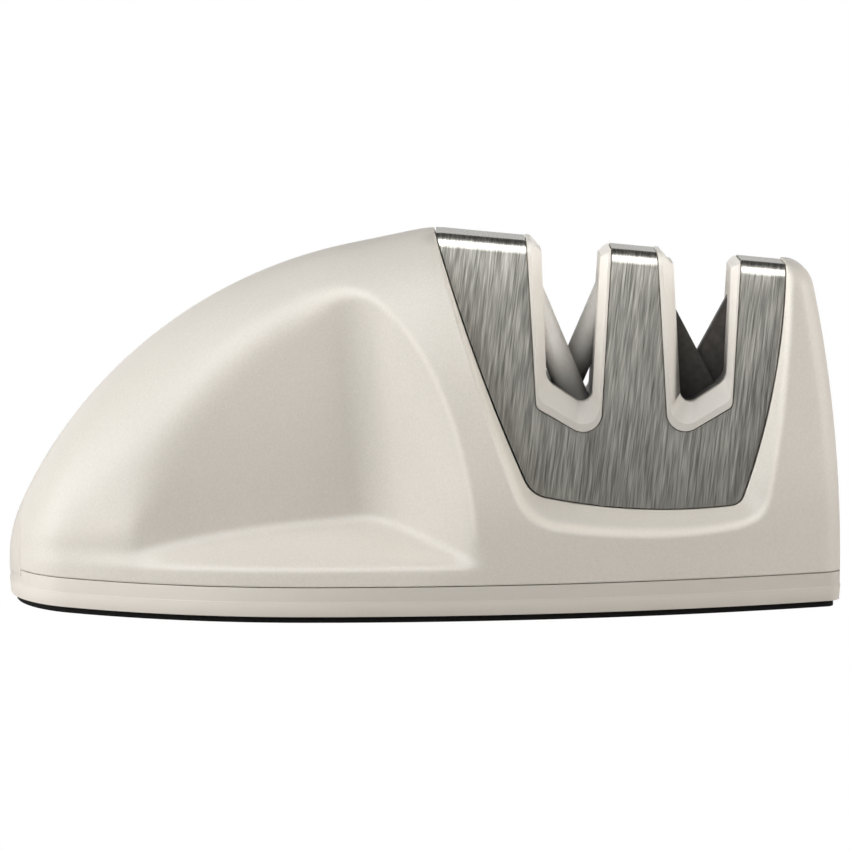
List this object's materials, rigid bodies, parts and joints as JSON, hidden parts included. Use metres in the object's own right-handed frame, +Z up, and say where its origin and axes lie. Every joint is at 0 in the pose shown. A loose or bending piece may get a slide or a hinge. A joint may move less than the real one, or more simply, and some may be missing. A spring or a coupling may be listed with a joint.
{
  "type": "knife sharpener",
  "caption": "Free-standing pull-through knife sharpener: drop-shaped grip, thin steel-clad head with fine and coarse knife slots over crossed rods and plates, flat rubber foot.",
  "frame": {"origin": "middle of the foot's underside footprint, on the surface the part stands on", "axes": "+X along the length towards the cut-off end with the head, +Y from the front side to the back side, +Z up"},
  "size_m": [0.1454, 0.052, 0.0649],
  "materials": {
    "grip_plastic": "satin, fine grain",
    "base_plastic": "satin",
    "foot_rubber": "matt",
    "cover_steel": "brushed, near upright lines",
    "guide_plastic": "satin",
    "rod_ceramic": "fine matt",
    "blade_carbide": "ground, dark grey",
    "screw_steel": "zinc plated"
  },
  "bodies": {
    "housing": {"body_shell": "grip_plastic", "base_tray": "base_plastic", "rubber_foot": "foot_rubber", "steel_cover": "cover_steel", "cartridge_front": "guide_plastic", "cartridge_rear": "guide_plastic", "coarse_blade_front": "blade_carbide", "coarse_blade_rear": "blade_carbide", "cartridge_screws": "screw_steel", "head_screws": "screw_steel", "base_screws": "screw_steel"},
    "front_rod": {"fine_rod_front": "rod_ceramic"},
    "rear_rod": {"fine_rod_rear": "rod_ceramic"}
  },
  "joints": [
    {"name": "front_rod_turn", "type": "hinge", "parent": "housing", "child": "front_rod", "pos_m": [0.0256, -0.0028, 0.0376], "axis": [-0.3907, 0, 0.9205], "continuous": true},
    {"name": "rear_rod_turn", "type": "hinge", "parent": "housing", "child": "rear_rod", "pos_m": [0.0256, 0.0028, 0.0376], "axis": [0.3907, 0, 0.9205], "continuous": true}
  ]
}
